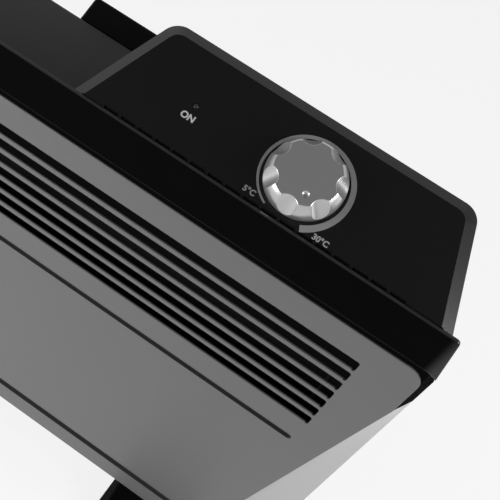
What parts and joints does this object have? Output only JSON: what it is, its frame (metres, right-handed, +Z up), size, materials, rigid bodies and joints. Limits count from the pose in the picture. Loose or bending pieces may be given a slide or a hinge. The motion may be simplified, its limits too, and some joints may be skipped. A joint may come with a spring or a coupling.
{
  "type": "convector heater",
  "caption": "Free-standing electric convector heater: louvred steel body on two feet, black top cover with a sloping control unit, a scalloped thermostat knob and a power lamp.",
  "frame": {"origin": "on the floor, under the middle of the body in width and depth", "axes": "+Z up; the front faces -Y; +X towards the end with the controls"},
  "size_m": [0.594, 0.18, 0.4335],
  "materials": {
    "panel_paint": "dark grey satin powder coat",
    "cheek_paint": "light grey satin powder coat",
    "rear_paint": "black powder coat",
    "cover_plastic": "black, satin",
    "fascia_plastic": "near-black, semi-gloss",
    "scale_print": "printed light grey",
    "knob_satin": "satin silver coating",
    "steel": "plain",
    "zinc_steel": "zinc plated sheet",
    "inner_plastic": "black",
    "terminal_plastic": "natural",
    "lamp_lens": "dark, unlit",
    "element_aluminium": "mill finish",
    "ceramic": "unglazed white ceramic",
    "brass_weight": "turned",
    "foot_plastic": "black, fine grain",
    "pad_rubber": "black",
    "screw_steel": "black zinc",
    "wire_insulation": "heat-resistant sleeving"
  },
  "bodies": {
    "heater": {"front_panel": "panel_paint", "side_cheek_right": "cheek_paint", "side_cheek_left": "cheek_paint", "rear_panel": "rear_paint", "bottom_plate": "rear_paint", "top_cover": "cover_plastic", "control_housing": "cover_plastic", "control_fascia": "fascia_plastic", "dial_scale": "scale_print", "thermostat_body": "inner_plastic", "power_lamp_lens": "lamp_lens", "power_lamp_body": "inner_plastic", "wiring_duct": "cover_plastic", "cord_gland": "cover_plastic", "terminal_block": "terminal_plastic", "heating_element": "element_aluminium", "heating_rod": "steel", "element_bracket_right": "zinc_steel", "element_bracket_left": "zinc_steel", "end_insulator_right": "ceramic", "end_insulator_left": "ceramic", "heat_shield": "element_aluminium", "thermal_cutout": "inner_plastic", "switch_case": "inner_plastic", "switch_cover": "terminal_plastic", "foot_right": "foot_plastic", "foot_left": "foot_plastic", "foot_pads_right": "pad_rubber", "foot_pads_left": "pad_rubber", "rear_screws": "screw_steel", "bracket_screws": "screw_steel", "foot_screws": "screw_steel", "control_screws": "screw_steel", "live_wire": "wire_insulation", "thermostat_wire": "wire_insulation", "cutout_wire": "wire_insulation", "neutral_wire": "wire_insulation", "switch_wire": "wire_insulation", "lamp_lead": "wire_insulation"},
    "knob": {"thermostat_knob": "knob_satin", "thermostat_shaft": "steel"},
    "pendulum": {"tilt_weight": "brass_weight"}
  },
  "joints": [
    {"name": "knob_turn", "type": "hinge", "parent": "heater", "child": "knob", "pos_m": [0.1934, -0.00544, 0.41749], "axis": [0, -0.454, 0.891], "range_deg": [0, 308]},
    {"name": "tilt_swing", "type": "hinge", "parent": "heater", "child": "pendulum", "pos_m": [-0.262, 0.009, 0.203], "axis": [1, 0, 0], "range_deg": [-18, 18]}
  ]
}
